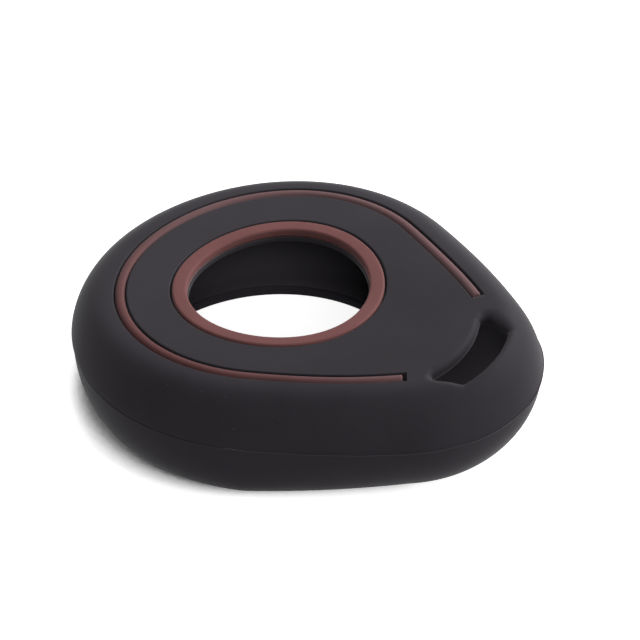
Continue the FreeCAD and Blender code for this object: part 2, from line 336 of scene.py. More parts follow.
def inset_rows(line, inset, height, tuck=0.0):
    """One row for each inset and height: the outline drawn in by inset, and by tuck more at the tip."""
    inset, height, tuck = np.broadcast_arrays(inset, height, tuck)
    drawn_in = inset[:, None] + tuck[:, None] * line.tip
    return raised(line.point - drawn_in[..., None] * line.normal, height[:, None])


def bridge_rows(first, last, shares):
    """Rows between two rows, at the given shares of the way."""
    return blend(first, last, np.asarray(shares)[:, None, None])


def bearing_of(row, centre_x):
    """Bearing of each point of a row, seen from an upright axis."""
    return np.arctan2(row[:, 1], row[:, 0] - centre_x)


# Meshes


def vertex_numbers(rows, first=0):
    """Number of each vertex of a grid of rows, counted on from first."""
    return first + np.arange(rows.shape[0] * rows.shape[1]).reshape(rows.shape[:2])


def grid_faces(index):
    """Four-cornered faces between neighbouring rows of vertex numbers."""
    return np.stack([index[:-1, :-1], index[1:, :-1], index[1:, 1:], index[:-1, 1:]], axis=-1)


def closed(index, axis):
    """Vertex numbers with the first row, or column, repeated at the end."""
    return np.concatenate([index, np.take(index, [0], axis=axis)], axis=axis)


def add_object(name, data):
    """New object of the scene."""
    made = bpy.data.objects.new(name, data)
    bpy.context.scene.collection.objects.link(made)
    return made


def new_piece(name, points, faces, material, node, hollow=None):
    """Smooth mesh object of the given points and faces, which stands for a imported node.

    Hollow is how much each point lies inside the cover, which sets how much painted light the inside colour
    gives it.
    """
    mesh = bpy.data.meshes.new(name)
    mesh.from_pydata(points, [], faces)
    mesh.shade_smooth()
    if hollow is not None:
        mesh.attributes.new("hollow", "FLOAT", "POINT").data.foreach_set("value", hollow.astype(np.float32))
    mesh.materials.append(material)
    piece = add_object(name, mesh)
    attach(piece, BODY)
    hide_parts(node)
    return piece


def settle(points, sizes):
    """Points moved as the soft moulding has set.

    The top rises evenly from the round end to the tip and sags in a flat-bottomed bell round the window. The
    middle of it is pulled into three lobes and set a little towards the tip. All of it grows smoothly from
    nothing at the seam to its full measure at the top plate.
    """
    points = np.array(points, float)
    x = points[..., 0] - WINDOW_X
    y = points[..., 1]
    radius = np.hypot(x, y)
    bearing = np.arctan2(y, x)
    lift = ramp(points[..., 2], sizes.seam_height, sizes.top)
    bell = np.exp(-(radius / sizes.sag_reach) ** SAG_POWER)
    inner = lift * (1 - ramp(radius, sizes.lobe_reach, sizes.lobe_reach + sizes.lobe_fade))
    out = inner * sizes.lobe * np.cos(LOBES * bearing + sizes.lobe_turn)
    points[..., 0] += out * np.cos(bearing) + inner * sizes.shift
    points[..., 1] += out * np.sin(bearing)
    rise = sizes.tilt * x / (SLEEVE_HIGH.x - WINDOW_X) * (1 - bell)
    points[..., 2] += lift * (rise - sizes.sag * bell)
    return points


# Sleeve

# Steps of the sleeve's grid: columns of one half from the tip to the round end, then rows of the section.
SLOT_COLUMNS = 28
GAP_COLUMNS = 4
GROOVE_END_COLUMNS = 5
FLANK_COLUMNS = 26
ROUND_END_COLUMNS = 70
PLATE_STEPS = 22
SHOULDER_STEPS = 20
LOWER_STEPS = 22
INNER_LOWER_STEPS = 16
INNER_UPPER_STEPS = 14
CEILING_STEPS = 15
# The block of the grid that the key-ring slot lies in: the turn of the outline at its sides, the plate's row
# where it starts, the rows that it takes of the other surfaces, and its share of the way across the ceiling.
SLOT_SIDE = math.radians(53.5)
PLATE_SLOT_ROW = 17
SHOULDER_SLOT_ROWS = 7
CEILING_SLOT_ROWS = 8
LOWER_SLOT_ROWS = 13
LIP_SLOT_ROWS = 3
CEILING_SLOT_SHARE = 0.32
# Places of the rows between the lower wall and the opening, as shares of the way, and how far the level ends
# of the opening's section run, as a share of its rounding.
LIP_SHARES = (0.03, 0.065, 0.1, 0.2, 0.35, 0.5, 0.65, 0.8, 0.92)
LIP_LEVEL_SHARE = 1.2
# How much the groove's flattened points are drawn to its middle past its ends.
GROOVE_DRAW_SHARE = 0.1
# The five rows of the parting line are the upper edge, the gap's two inner corners, the lower edge and the
# wall below. Each has a share of the parting step, the gap, its depth, the flash and the edges' rounding.
SEAM_STEP_SHARES = np.array([0, 0, 0.5, 1, 1])
SEAM_GAP_SHARES = np.array([0, 0, 1, 1, 1])
SEAM_DEPTH_SHARES = np.array([0, 1, 1, 0, 0])
SEAM_FLASH_SHARES = np.array([0.5, 1, 1, 0.4, 0.2])
SEAM_EDGE_SHARES = np.array([1, 1.5, 0.5, 1, 2])
# Cosines of the outline's turn between which the flash grows to the tip and the gap to the round end.
FLASH_COSINES = (-0.05, 0.55)
GAP_COSINES = (0.3, -0.6)
TIP_GAP_SHARE = 0.4
# The flash is uneven: its height waves round the cover by this share.
FLASH_WAVES = 11
FLASH_WAVE_SHARE = 0.2
# How much of the inside colour, a painted light that lightens the hollow, shows at the lip and at the seam, and
# at the round end against the tip. The last rows of the opening's edge count as the lip.
LIP_PAINTED_LIGHT_SHARE = 0.7
SEAM_PAINTED_LIGHT_SHARE = 0.85
ROUND_END_PAINTED_LIGHT_SHARE = 0.5
LIP_EDGE_ROWS = 2
# The slot's rim: steps along each arc and corner, along all of it, and how even its points lie.
RIM_ARC_STEPS = 60
RIM_CORNER_STEPS = 20
RIM_STEPS = 6000
RIM_EVEN_SHARE = 0.1
PROFILE_STEPS = 4000
# Rings of a slot's passage: from the block's border to the rounded edge, round that edge, and along its wall.
BLEND_STEPS = 13
EDGE_STEPS = 8
WALL_SHARES = (0.1, 0.4, 0.7, 0.92)
# Sideways parts of the rim's normal between which the dish widens, and the shares of each passage over which
# the upper side's share of the painted inside light changes to the lower one's.
DISH_FACING = (0.1, 0.9)
TOP_FADE_SHARES = (0.75, 0.95)
FLOOR_FADE_SHARES = (0.05, 0.25)


def stripe_ends(sizes, gap=0.0):
    """Turns of the outline at the stripe's two ends, drawn back by gap: the one on the -Y side first."""
    end = stripe_end(sizes) - gap / sizes.flank_radius
    slip = sizes.stripe_slip / sizes.flank_radius
    return end - slip, end + slip


def sleeve_columns(sizes):
    """Turns of the sleeve's columns from -pi to pi, and the groove's share of its depth at each.

    The columns lie closer together where the stripe's groove ends.
    """
    at_round_end = outline_arcs(sizes).at_round_end
    slack = sizes.edge / sizes.flank_radius
    near, far = stripe_ends(sizes, sizes.stripe_end_gap)

    def half(end):
        return spread((0, SLOT_SIDE, SLOT_COLUMNS), (SLOT_SIDE, end - slack, GAP_COLUMNS),
                      (end - slack, end + slack, GROOVE_END_COLUMNS),
                      (end + slack, at_round_end, FLANK_COLUMNS), (at_round_end, math.pi, ROUND_END_COLUMNS))

    turn = np.concatenate([[-math.pi], -half(near)[:0:-1], half(far)])
    end = np.where(turn < 0, near, far)
    return turn, ramp(np.abs(turn), end - slack, end + slack)


def groove_section(sizes, line, groove):
    """Rows of the stripe's groove, from the top plate to the shoulder.

    Groove is its share of its depth at each column. Past its ends the flattened points are drawn a little to
    its middle, so that none fall together.
    """
    top, edge = sizes.top, sizes.edge
    floor = STRIPE_LOW.z
    middle = stripe_inset(sizes)
    half = sizes.stripe_width / 2 + sizes.stripe_moat
    path = rounded_path([(middle + half + EDGE_LEVEL_SHARE * edge, top), (middle + half, top),
                         (middle + half, floor), (middle - half, floor), (middle - half, top),
                         (shoulder_inset(sizes), top)], (edge, edge / 2, edge / 2, edge))
    rows = inset_rows(line, path[:, 0], path[:, 1])
    deep = (top - path[:, 1]) / (top - floor)
    drawn = np.outer((middle - path[:, 0]) * deep, GROOVE_DRAW_SHARE * (1 - groove))
    rows[..., :2] -= drawn[..., None] * line.normal
    rows[..., 2] = top - (top - rows[..., 2]) * groove
    return rows


def seam_section(sizes, line):
    """Rows of the parting line: a fine gap that opens to the round end, and uneven flash at the tip.

    Each row is the outline at the seam, drawn in by its shares of the step and the gap's depth, out by its
    share of the flash, and down by its shares of the gap and of the edges' rounding.
    """
    tipward = ramp(np.cos(line.turn), *FLASH_COSINES)
    wave = blend(1, np.sin(FLASH_WAVES * line.turn), FLASH_WAVE_SHARE)
    opened = blend(TIP_GAP_SHARE, 1, ramp(np.cos(line.turn), *GAP_COSINES))
    rows = inset_rows(line, sizes.parting_step * SEAM_STEP_SHARES, sizes.seam_height)
    inset = (np.outer(SEAM_DEPTH_SHARES, sizes.seam_depth * (1 - tipward))
             - np.outer(SEAM_FLASH_SHARES, sizes.flash * tipward * wave))
    rows[..., :2] -= inset[..., None] * line.normal
    rows[..., 2] -= np.outer(SEAM_GAP_SHARES, sizes.seam_gap * opened)
    rows[..., 2] -= sizes.seam_edge * SEAM_EDGE_SHARES[:, None]
    return rows


def sleeve_section(sizes, line, groove):
    """Rows of the sleeve's closed section, the slot's blocks by row numbers, and each row's share of the
    painted inside light.

    The section runs from the window's wall over the rebate, the top plate, the stripe's groove and the
    shoulder to the seam, down the lower wall and under the lip, and back through the hollow.
    """
    top, seam, lip_wall, edge = sizes.top, sizes.seam_height, sizes.lip_wall, sizes.edge
    ceiling = top - sizes.top_wall
    rebate = RING_LOW.z
    rebate_radius = sizes.ring_outer + sizes.ring_moat
    margin = EDGE_LEVEL_SHARE * edge
    wall_middle = (ceiling + rebate) / 2

    groove_rows = groove_section(sizes, line, groove)
    bearing = bearing_of(groove_rows[0], WINDOW_X)
    path = rounded_path([(sizes.window_radius, wall_middle), (sizes.window_radius, rebate),
                         (rebate_radius, rebate), (rebate_radius, top), (rebate_radius + margin, top)],
                        (edge, edge / 2, edge))
    window_rows = circle_rows(WINDOW_X, bearing, path)
    plate_rows = bridge_rows(window_rows[-1], groove_rows[0], np.arange(1, PLATE_STEPS) / PLATE_STEPS)

    across, along = quarter(SHOULDER_POWERS, SHOULDER_STEPS)
    shoulder_rows = inset_rows(line, shoulder_inset(sizes) * (1 - across),
                               seam + (top - seam) * along)[-2::-1]
    bead_rows = seam_section(sizes, line)

    across, along = quarter(LOWER_POWERS, LOWER_STEPS)
    lower_rows = inset_rows(line, sizes.lower_inset * (1 - across), (seam - sizes.seam_band) * (1 - along),
                            sizes.tip_tuck * along ** TUCK_POWER)
    lower_rows[..., :2] -= (sizes.parting_step * across)[:, None, None] * line.normal

    across, along = quarter(LOWER_POWERS, INNER_LOWER_STEPS)
    inner_lower_rows = inset_rows(line, blend(sizes.lower_inset, sizes.side_wall, across),
                                  blend(seam, lip_wall, along), sizes.tip_tuck * along ** TUCK_POWER)[::-1]

    level = sizes.opening_radius + LIP_LEVEL_SHARE * sizes.lip_edge
    path = rounded_path([(level, 0), (sizes.opening_radius, 0), (sizes.opening_radius, lip_wall),
                         (level, lip_wall)], (sizes.lip_edge, sizes.lip_edge))
    opening_rows = circle_rows(OPENING_X, bearing_of(lower_rows[-1], OPENING_X), path)
    opening_rows[..., :2] -= (sizes.lip_lag, sizes.lip_slip)
    underside_rows = bridge_rows(lower_rows[-1], opening_rows[0], LIP_SHARES)
    lip_rows = bridge_rows(inner_lower_rows[0], opening_rows[-1], LIP_SHARES)[::-1]

    across, along = quarter(CEILING_POWERS, INNER_UPPER_STEPS)
    inner_upper_rows = inset_rows(line, blend(sizes.ceiling_inset, sizes.side_wall, across),
                                  blend(seam, ceiling, along))[1:]

    path = rounded_path([(sizes.window_radius + margin, ceiling), (sizes.window_radius, ceiling),
                         (sizes.window_radius, wall_middle)], (edge,))
    bore_rows = circle_rows(WINDOW_X, bearing, path[:-1])
    slot_rows = PLATE_STEPS - 1 - PLATE_SLOT_ROW + len(groove_rows) + SHOULDER_SLOT_ROWS
    near = np.linspace(0, CEILING_SLOT_SHARE, slot_rows - CEILING_SLOT_ROWS + 1)[1:]
    far = np.linspace(CEILING_SLOT_SHARE, 1, CEILING_STEPS + 1)[1:-1]
    ceiling_rows = bridge_rows(inner_upper_rows[-1], bore_rows[0], np.concatenate([near, far]))

    parts = dict(window=window_rows, plate=plate_rows, groove=groove_rows, shoulder=shoulder_rows,
                 bead=bead_rows, lower=lower_rows, underside=underside_rows, opening=opening_rows,
                 lip=lip_rows, inner_lower=inner_lower_rows, inner_upper=inner_upper_rows,
                 ceiling=ceiling_rows, bore=bore_rows)
    starts = np.cumsum([0] + [len(rows) for rows in parts.values()])
    start = SimpleNamespace(**dict(zip(parts, starts)))
    top_row = start.plate + PLATE_SLOT_ROW
    ceiling_row = start.ceiling - 1 - CEILING_SLOT_ROWS
    floor_row = start.inner_lower - LIP_SLOT_ROWS
    under_row = start.underside - 1 + LIP_SLOT_ROWS
    lower_slot_rows = LIP_SLOT_ROWS + LOWER_SLOT_ROWS
    blocks = SimpleNamespace(top=(top_row, top_row + slot_rows),
                             ceiling=(ceiling_row + slot_rows, ceiling_row),
                             floor=(floor_row, floor_row + lower_slot_rows),
                             under=(under_row, under_row - lower_slot_rows))
    # Painted light: the hollow's rows get more of the inside colour towards the ceiling.
    hollow = np.zeros(starts[-1])
    hollow[start.lip - LIP_EDGE_ROWS:start.inner_lower] = LIP_PAINTED_LIGHT_SHARE
    hollow[start.inner_lower:start.inner_upper] = np.linspace(LIP_PAINTED_LIGHT_SHARE, SEAM_PAINTED_LIGHT_SHARE,
                                                              len(inner_lower_rows))
    hollow[start.inner_upper:start.bore] = np.linspace(SEAM_PAINTED_LIGHT_SHARE, 1,
                                                       len(inner_upper_rows) + len(ceiling_rows))
    return np.concatenate(list(parts.values())), blocks, hollow


def slot_rim(sizes):
    """Core points and outward normals round the key-ring slot, in fine steps.

    The slot's line is the core plus the corner's radius along the normal. The slot lies between two arcs and
    has slanting ends. Its core is that shape drawn in by the corner's radius, so the normal turns on the spot
    at each of the core's corners. The line starts half way round the corner between the left and the inner
    side and goes on by the right, outer and left sides. All of it is turned and slipped as the tip has set.
    """
    corner = sizes.slot_corner
    inner, outer = sizes.slot_inner_arc, sizes.slot_outer_arc
    half_spans = sizes.slot_inner_span / 2, sizes.slot_outer_span / 2
    outer_x = SLEEVE_HIGH.x - sizes.slot_margin - outer
    inner_x = SLEEVE_HIGH.x - sizes.slot_margin - sizes.slot_width - inner
    inner_end = np.array([inner_x + math.sqrt(inner ** 2 - half_spans[0] ** 2), half_spans[0]])
    outer_end = np.array([outer_x + math.sqrt(outer ** 2 - half_spans[1] ** 2), half_spans[1]])
    along = (outer_end - inner_end) / np.linalg.norm(outer_end - inner_end)
    square = np.array([-along[1], along[0]])
    level = inner_end @ square - corner

    def core_corner(centre_x, radius):
        ahead = centre_x * along[0] + math.sqrt(radius ** 2 - (level - centre_x * square[0]) ** 2)
        place = level * square + ahead * along
        return place, math.atan2(place[1], place[0] - centre_x)

    core_inner, inner_bearing = core_corner(inner_x, inner + corner)
    core_outer, outer_bearing = core_corner(outer_x, outer - corner)
    end_turn = math.atan2(square[1], square[0])

    def arc(centre_x, radius, first, last, facing):
        turn = np.linspace(first, last, RIM_ARC_STEPS)
        return np.stack([centre_x + radius * np.cos(turn), radius * np.sin(turn),
                         facing * np.cos(turn), facing * np.sin(turn)], axis=-1)

    def corner_turn(core, first, last):
        turn = np.linspace(first, last, RIM_CORNER_STEPS)
        place = np.broadcast_to(core, (RIM_CORNER_STEPS, 2))
        return np.concatenate([place, np.stack([np.cos(turn), np.sin(turn)], axis=-1)], axis=-1)

    mirror = np.array([1, -1, 1, -1])
    inner_facing = math.pi + inner_bearing
    inner_middle = (inner_facing + end_turn) / 2
    outer_middle = (outer_bearing + end_turn) / 2
    inner_side = np.concatenate([
        mirror * corner_turn(core_inner, inner_middle, inner_facing),
        arc(inner_x, inner + corner, -inner_bearing, inner_bearing, -1),
        corner_turn(core_inner, inner_facing, inner_middle)])
    end_side = np.concatenate([corner_turn(core_inner, inner_middle, end_turn),
                               corner_turn(core_outer, end_turn, outer_middle)])
    outer_side = np.concatenate([
        corner_turn(core_outer, outer_middle, outer_bearing),
        arc(outer_x, outer - corner, outer_bearing, -outer_bearing, 1),
        mirror * corner_turn(core_outer, outer_bearing, outer_middle)])

    rim = np.concatenate([inner_side, end_side, outer_side, mirror * end_side[::-1]])
    reach = arc_length(rim[:, :2] + corner * rim[:, 2:])
    fine = np.linspace(0, reach[-1], RIM_STEPS)
    rim = np.stack([np.interp(fine, reach, column) for column in rim.T], axis=-1)
    middle = np.array([SLEEVE_HIGH.x - sizes.slot_margin - sizes.slot_width / 2, 0])
    cos, sin = math.cos(sizes.slot_turn), math.sin(sizes.slot_turn)
    turned = np.array([[cos, sin], [-sin, cos]])
    core = (rim[:, :2] - middle) @ turned + middle + np.array([0, sizes.slot_slip])
    normal = rim[:, 2:] @ turned
    return core, normal / np.linalg.norm(normal, axis=1, keepdims=True)


def arc_length(points):
    """Length along a row of points, from its first."""
    return np.concatenate([[0], np.cumsum(np.linalg.norm(np.diff(points, axis=0), axis=1))])


def nearest_steps(border, drawn):
    """Step of a finely stepped closed line nearest to each border point, mixed with a little evenness."""
    apart = np.linalg.norm(border[:, None] - drawn[None], axis=-1)
    whole = len(drawn)
    nearest = np.unwrap(np.argmin(apart, axis=1), period=whole)
    even = nearest[0] + np.arange(len(border)) * whole / len(border)
    return (1 - RIM_EVEN_SHARE) * nearest + RIM_EVEN_SHARE * even


def block_border(index, rows, columns):
    """Vertex numbers round a block of the grid: its inner row, right column, outer row and left column."""
    inner, outer = rows
    left, right = columns
    step = 1 if outer > inner else -1
    ends = np.arange(inner, outer, step)
    across = np.arange(left, right)
    return np.concatenate([index[inner, across], index[ends, right], index[outer, across + 1][::-1],
                           index[ends + step, left][::-1]])


def slot_profiles(sizes):
    """Finely stepped inset and height of the four surfaces that the key-ring slot crosses, at the tip.

    They are the shoulder, the hollow's ceiling, its floor and the lower wall, each with its level end drawn
    out.
    """
    seam, ceiling = sizes.seam_height, sizes.top - sizes.top_wall
    level = np.array([SLEEVE_HIGH.x - WINDOW_X])

    def profile(powers, skin, reach, first, last, tuck):
        across, along = quarter(powers, PROFILE_STEPS)
        inset = blend(reach, skin, across) + tuck * along ** TUCK_POWER
        height = blend(first, last, along)
        return np.concatenate([inset, level]), np.concatenate([height, height[-1:]])

    return SimpleNamespace(
        top=profile(SHOULDER_POWERS, 0, shoulder_inset(sizes), seam, sizes.top, 0),
        ceiling=profile(CEILING_POWERS, sizes.side_wall, sizes.ceiling_inset, seam, ceiling, 0),
        floor=profile(LOWER_POWERS, sizes.side_wall, sizes.lower_inset, seam, sizes.lip_wall, sizes.tip_tuck),
        under=profile(LOWER_POWERS, sizes.parting_step, sizes.lower_inset, seam - sizes.seam_band, 0,
                      sizes.tip_tuck))


def slot_rings(sizes, profile, border, core, normal, reach, edge, side):
    """Rings from a block's border to the slot's wall, on the surface that the block was cut from.

    The outer rings blend from the border to the slot's line widened by reach, at the surface's height there.
    The inner ones turn down into the slot, or up for side -1, on a quarter ellipse of reach across and edge
    along.
    """
    tip_centre = np.array([SLEEVE_HIGH.x - sizes.tip_radius, 0])

    def on_surface(plan):
        return np.interp(sizes.tip_radius - np.linalg.norm(plan - tip_centre, axis=-1), *profile)

    turn = np.linspace(0, math.pi / 2, EDGE_STEPS + 1)[:, None, None]
    rounded = core + (sizes.slot_corner + np.asarray(reach)[..., None] * (1 - np.sin(turn))) * normal
    drop = edge * (1 - np.cos(turn[..., 0]))
    shares = np.linspace(0, 1, BLEND_STEPS + 1)[1:-1, None, None]
    blended = blend(border[:, :2], rounded[0], shares)
    height = np.concatenate([on_surface(blended), on_surface(rounded) - side * drop])
    return raised(np.concatenate([blended, rounded]), height)


def slot_passage(sizes, section, index, columns, passage):
    """Rings of the key-ring slot through one wall, from the upper block's border to the lower one's.

    The upper edge of a dished passage reaches further out at the slot's two ends.
    """
    upper_border = block_border(index, passage.upper, columns)
    lower_border = block_border(index, passage.lower, columns)
    flat = section.reshape(-1, 3)
    core, normal = slot_rim(sizes)
    above_edge, below_edge = passage.edges
    reach = np.full(len(core), above_edge)
    if passage.dished:
        reach += sizes.slot_far_dish * ramp(normal[:, 1], *DISH_FACING)
        reach += sizes.slot_near_dish * ramp(-normal[:, 1], *DISH_FACING)
    drawn = core + (sizes.slot_corner + reach[:, None]) * normal
    steps = (nearest_steps(flat[upper_border, :2], drawn) + nearest_steps(flat[lower_border, :2], drawn)) / 2
    steps = np.round(steps).astype(int) % len(drawn)
    core, normal, reach = core[steps], normal[steps], reach[steps]
    upper, lower = passage.profiles
    above = slot_rings(sizes, upper, flat[upper_border], core, normal, reach, above_edge, 1)
    below = slot_rings(sizes, lower, flat[lower_border], core, normal, below_edge, below_edge, -1)
    wall = bridge_rows(above[-1], below[-1], WALL_SHARES)
    return upper_border, np.concatenate([above, wall, below[::-1]]), lower_border


def sleeve_surface(sizes):
    """Points and faces of the sleeve: its section carried round the outline, pierced by the key-ring slot.

    Also each point's share of the painted inside light, which in the slot's walls changes from the upper to the
    lower side.
    """
    turn, groove = sleeve_columns(sizes)
    line = outline(sizes, turn)
    section, blocks, hollow = sleeve_section(sizes, line, groove)
    index = vertex_numbers(section)
    middle = section.shape[1] // 2
    columns = (middle - SLOT_COLUMNS, middle + SLOT_COLUMNS)
    faces = grid_faces(closed(closed(index, 0), 1))
    kept = np.ones(faces.shape[:2], bool)
    for rows in (blocks.top, blocks.ceiling, blocks.floor, blocks.under):
        kept[min(rows):max(rows), columns[0]:columns[1]] = False
    points = [section.reshape(-1, 3)]
    inside = [np.outer(hollow, blend(ROUND_END_PAINTED_LIGHT_SHARE, 1, line.tip)).ravel()]
    face_groups = [faces[kept]]
    count = index.size
    heights = slot_profiles(sizes)
    top_passage = SimpleNamespace(
        upper=blocks.top, lower=blocks.ceiling, profiles=(heights.top, heights.ceiling), dished=True,
        edges=(sizes.slot_dish, sizes.slot_ceiling_edge), fade=TOP_FADE_SHARES)
    floor_passage = SimpleNamespace(
        upper=blocks.floor, lower=blocks.under, profiles=(heights.floor, heights.under), dished=False,
        edges=(sizes.slot_edge, sizes.slot_edge), fade=FLOOR_FADE_SHARES)
    for passage in (top_passage, floor_passage):
        first, rings, last = slot_passage(sizes, section, index, columns, passage)
        ring_index = np.concatenate([first[None], vertex_numbers(rings, count), last[None]])
        points.append(rings.reshape(-1, 3))
        above, below = hollow[passage.upper[0]], hollow[passage.lower[0]]
        fade = ramp(np.arange(len(rings)) / len(rings), *passage.fade)
        inside.append(np.repeat(blend(above, below, fade), rings.shape[1]))
        face_groups.append(grid_faces(closed(ring_index, 1)).reshape(-1, 4))
        count += rings.shape[0] * rings.shape[1]
    return settle(np.concatenate(points), sizes), np.concatenate(face_groups), np.concatenate(inside)


# Ring and stripe

# Steps of the inlays: round a corner and along a side of the section, round the ring, and along one half of
# the stripe, from its end to the round end.
INLAY_CORNER_STEPS = 6
INLAY_SIDE_STEPS = 3
RING_COLUMNS = 320
STRIPE_END_STEPS = 6
STRIPE_FLANK_STEPS = 40
STRIPE_ROUND_STEPS = 90
# The stripe's ends: how long their rounding is in moulded edges, and how much of the section it takes off.
STRIPE_END_EDGES = 1.5
STRIPE_END_SHARE = 0.25


def inlay_profile(first, last, bottom, top, edge):
    """Closed section of an inlay: a rectangle with rounded upper corners."""
    path = rounded_path([(first, bottom), (first, top), (last, top), (last, bottom)], (edge, edge),
                        INLAY_CORNER_STEPS)
    side = np.linspace(0, 1, INLAY_SIDE_STEPS + 1)[1:-1, None]
    turned = INLAY_CORNER_STEPS + 2
    return np.concatenate([path[:1], blend(path[0], path[1], side), path[1:turned],
                           blend(path[turned - 1], path[turned], side), path[turned:-1],
                           blend(path[-2], path[-1], side), path[-1:]])


def ring_surface(sizes):
    """Points and faces of the window ring: its section turned about the window axis."""
    profile = inlay_profile(sizes.ring_outer - sizes.ring_width, sizes.ring_outer, RING_LOW.z, RING_HIGH.z,
                            sizes.ring_edge)
    bearing = np.linspace(-math.pi, math.pi, RING_COLUMNS, endpoint=False)
    rows = circle_rows(WINDOW_X, bearing, profile)
    faces = grid_faces(closed(closed(vertex_numbers(rows), 0), 1)).reshape(-1, 4)
    return settle(rows.reshape(-1, 3), sizes), faces


def stripe_surface(sizes):
    """Points and faces of the stripe: its section carried along the outline from one square end to the other.

    At both ends the section shrinks on a quarter circle over the last stretch, which rounds their edges. The
    last two faces close the ends.
    """
    at_round_end = outline_arcs(sizes).at_round_end
    near, far = stripe_ends(sizes)
    near += sizes.stripe_short / sizes.flank_radius
    slack = STRIPE_END_EDGES * sizes.edge / sizes.flank_radius

    def half(end):
        return np.concatenate([spread((end, end + slack, STRIPE_END_STEPS),
                                      (end + slack, at_round_end, STRIPE_FLANK_STEPS),
                                      (at_round_end, math.pi, STRIPE_ROUND_STEPS)), [math.pi]])

    turn = np.concatenate([half(far), -half(near)[-2::-1]])
    line = outline(sizes, turn)
    width = sizes.stripe_width
    profile = inlay_profile(-width / 2, width / 2, STRIPE_LOW.z, STRIPE_HIGH.z, sizes.stripe_edge)
    near_end = np.clip(1 - (np.abs(turn) - np.where(turn < 0, near, far)) / slack, 0, 1)
    shrink = STRIPE_END_SHARE * (1 - np.sqrt(1 - near_end ** 2))
    inset = stripe_inset(sizes) + profile[:, 0, None] * (1 - shrink)
    plan = line.point - inset[..., None] * line.normal
    rows = raised(plan, blend(profile[:, 1, None], STRIPE_LOW.z, shrink))
    index = vertex_numbers(rows)
    faces = grid_faces(closed(index, 0))[..., ::-1].reshape(-1, 4).tolist()
    caps = [index[::-1, 0].tolist(), index[:, -1].tolist()]
    return settle(rows.reshape(-1, 3), sizes), faces + caps


# Materials


def feed(tree, socket, source):
    """Gives a socket a value, or links an output to it."""
    if isinstance(source, bpy.types.NodeSocket):
        tree.links.new(source, socket)
    else:
        socket.default_value = source


def add_node(tree, kind, *sources, operation=None, **named_sources):
    """New node of a tree, with what feeds its sockets.

    The sources go to its first sockets in order, and the named ones to the sockets of those names, in which
    underscores stand for spaces.
    """
    node = tree.nodes.new(kind)
    if operation:
        node.operation = operation
    for socket, source in zip(node.inputs, sources):
        feed(tree, socket, source)
    for name, source in named_sources.items():
        feed(tree, node.inputs[name.replace("_", " ")], source)
    return node


def maximum(tree, first, second):
    """Output that is the larger of two outputs."""
    return add_node(tree, "ShaderNodeMath", first, second, operation="MAXIMUM").outputs[0]


def remapped(tree, source, span, values):
    """Output that goes evenly from one value to the other while the source crosses a span."""
    return add_node(tree, "ShaderNodeMapRange", Value=source, From_Min=span[0], From_Max=span[1],
                    To_Min=values[0], To_Max=values[1]).outputs["Result"]


def mixed_in(tree, first, tint, factor):
    """Output that is the first one with a tint mixed in by a factor."""
    node = tree.nodes.new("ShaderNodeMix")
    node.data_type = "RGBA"
    for name, source in (("A", first), ("B", (*tint, 1)), ("Factor", factor)):
        feed(tree, node.inputs[name], source)
    return node.outputs["Result"]


def seen_or_mirrored(tree):
    """Output that is 1 for the camera's own rays and for glossy and transmission rays, and 0 for others."""
    ray = add_node(tree, "ShaderNodeLightPath")
    direct = maximum(tree, ray.outputs["Is Camera Ray"], ray.outputs["Is Glossy Ray"])
    return maximum(tree, direct, ray.outputs["Is Transmission Ray"])


# The silicone's clouds: the part of the noise that they use, and their shares of the base colour and their
# changes of the roughness where they are darkest and lightest.
CLOUD_RANGE = (0.3, 0.7)
CLOUD_SHARES = (0.9, 1.12)
ROUGHNESS_CHANGES = (-0.04, 0.05)
# The specks: the distances from their middles where they start and are full, and how white they are.
SPECK_RANGE = (0.04, 0.02)
SPECK_WHITE_SHARE = 0.25
# Ways along which the painted sheen grows, a painted highlight of the back lamps on the sides towards them,
# and the places along them where it starts and is full.
SLEEVE_PAINTED_SHEEN = SimpleNamespace(way=(-1, 0.5, 2), span=(20 * MM, 40 * MM))
STRIPE_PAINTED_SHEEN = SimpleNamespace(way=(0.25, 1, 0), span=(-21 * MM, 2 * MM))


